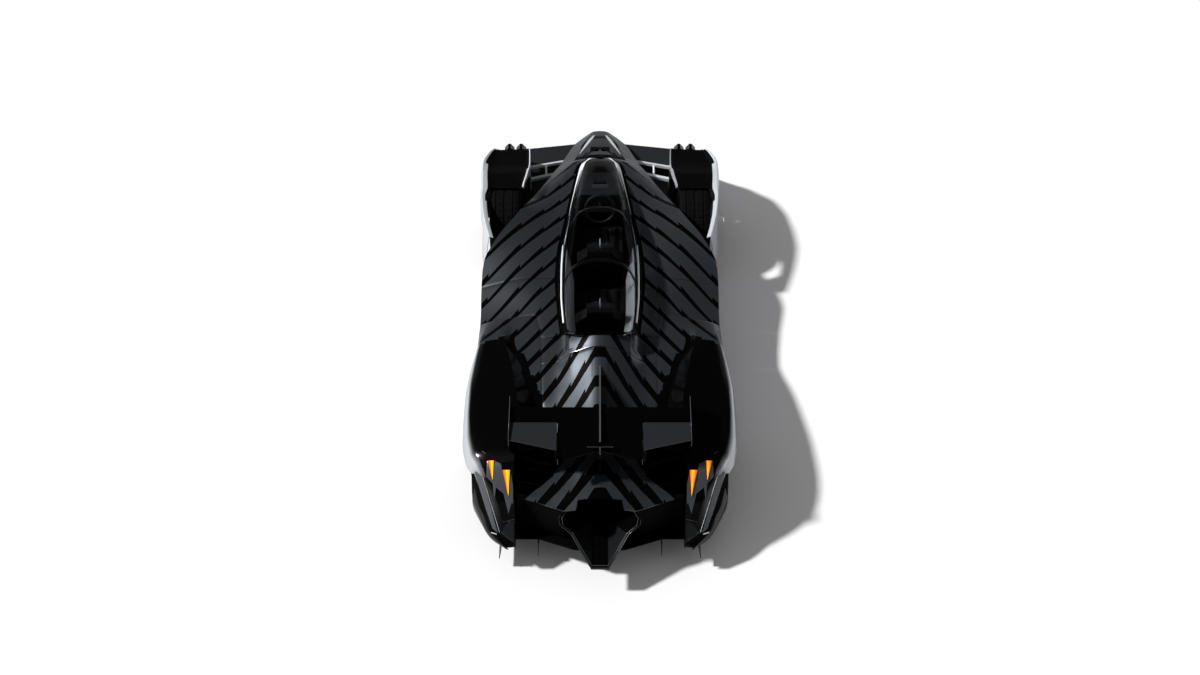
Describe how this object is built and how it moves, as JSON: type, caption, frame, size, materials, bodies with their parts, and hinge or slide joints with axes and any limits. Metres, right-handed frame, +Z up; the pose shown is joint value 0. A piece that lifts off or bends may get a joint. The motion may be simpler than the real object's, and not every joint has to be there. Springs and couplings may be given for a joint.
{
  "type": "tandem two-seat hypercar",
  "caption": "Low closed-cockpit hypercar with teardrop canopy, front wheel pods, tall rear fenders, rear wing with centre fin and a hexagonal tail duct",
  "frame": {"origin": "middle of the bounding box in plan, on the ground under the tyres", "axes": "nose towards -Y, tail +Y, left side of the car +X, +Z up"},
  "size_m": [2.0488, 4.73, 1],
  "materials": {
    "body_black": "gloss",
    "body_satin": "satin",
    "carbon": "matte",
    "glass": "gloss",
    "headlamp": "gloss",
    "iron": "matte",
    "lamp": "gloss",
    "rim": "satin",
    "silver": "satin",
    "steel": "satin",
    "trim": "matte",
    "tyre": "matte"
  },
  "bodies": {
    "car": {"dashboard": "carbon", "diffuser": "carbon", "engine_cover": "body_satin", "fin": "body_black", "firewall": "carbon", "floor_pan": "carbon", "front_body_left": "body_satin", "front_body_right": "body_satin", "front_pod_left": "silver", "front_pod_right": "silver", "front_wing": "carbon", "headlamps": "headlamp", "mid_body": "body_satin", "nose_shell": "body_satin", "powertrain": "iron", "rear_deck": "body_satin", "rear_fascia": "carbon", "rear_fender_left": "body_black", "rear_fender_right": "body_black", "rear_wing": "body_black", "seat_front": "trim", "seat_rear": "trim", "steering_wheel": "carbon", "strakes": "carbon", "tail_duct": "body_black", "tail_lamps": "lamp", "tub": "carbon", "upright_rear_left": "steel", "upright_rear_right": "steel", "wing_endplates": "body_black", "wing_flaps": "carbon", "wishbones_front": "steel", "wishbones_rear": "steel"},
    "canopy": {"canopy_frame": "silver", "canopy_glass": "glass"},
    "wheel_front_left": {"rim_front_left": "rim", "tyre_front_left": "tyre"},
    "wheel_front_right": {"rim_front_right": "rim", "tyre_front_right": "tyre"},
    "wheel_rear_left": {"rim_rear_left": "rim", "tyre_rear_left": "tyre"},
    "wheel_rear_right": {"rim_rear_right": "rim", "tyre_rear_right": "tyre"},
    "knuckle_left": {"upright_front_left": "steel"},
    "knuckle_right": {"upright_front_right": "steel"}
  },
  "joints": [
    {"name": "steer_left", "type": "hinge", "parent": "car", "child": "knuckle_left", "pos_m": [0.72, -1.18, 0.34], "axis": [0, 0, 1], "range_deg": [-18, 18]},
    {"name": "spin_front_left", "type": "hinge", "parent": "knuckle_left", "child": "wheel_front_left", "pos_m": [0.79, -1.18, 0.34], "axis": [1, 0, 0], "continuous": true},
    {"name": "spin_rear_left", "type": "hinge", "parent": "car", "child": "wheel_rear_left", "pos_m": [0.79, 1.48, 0.355], "axis": [1, 0, 0], "continuous": true},
    {"name": "steer_right", "type": "hinge", "parent": "car", "child": "knuckle_right", "pos_m": [-0.72, -1.18, 0.34], "axis": [0, 0, 1], "range_deg": [-18, 18]},
    {"name": "spin_front_right", "type": "hinge", "parent": "knuckle_right", "child": "wheel_front_right", "pos_m": [-0.79, -1.18, 0.34], "axis": [1, 0, 0], "continuous": true},
    {"name": "spin_rear_right", "type": "hinge", "parent": "car", "child": "wheel_rear_right", "pos_m": [-0.79, 1.48, 0.355], "axis": [1, 0, 0], "continuous": true},
    {"name": "canopy_hinge", "type": "hinge", "parent": "car", "child": "canopy", "pos_m": [0, -1.797, 0.5], "axis": [1, 0, 0], "range_deg": [0, 55]}
  ],
  "couplings": [
    {"joint": "steer_right", "follows": "steer_left", "ratio": 1}
  ]
}
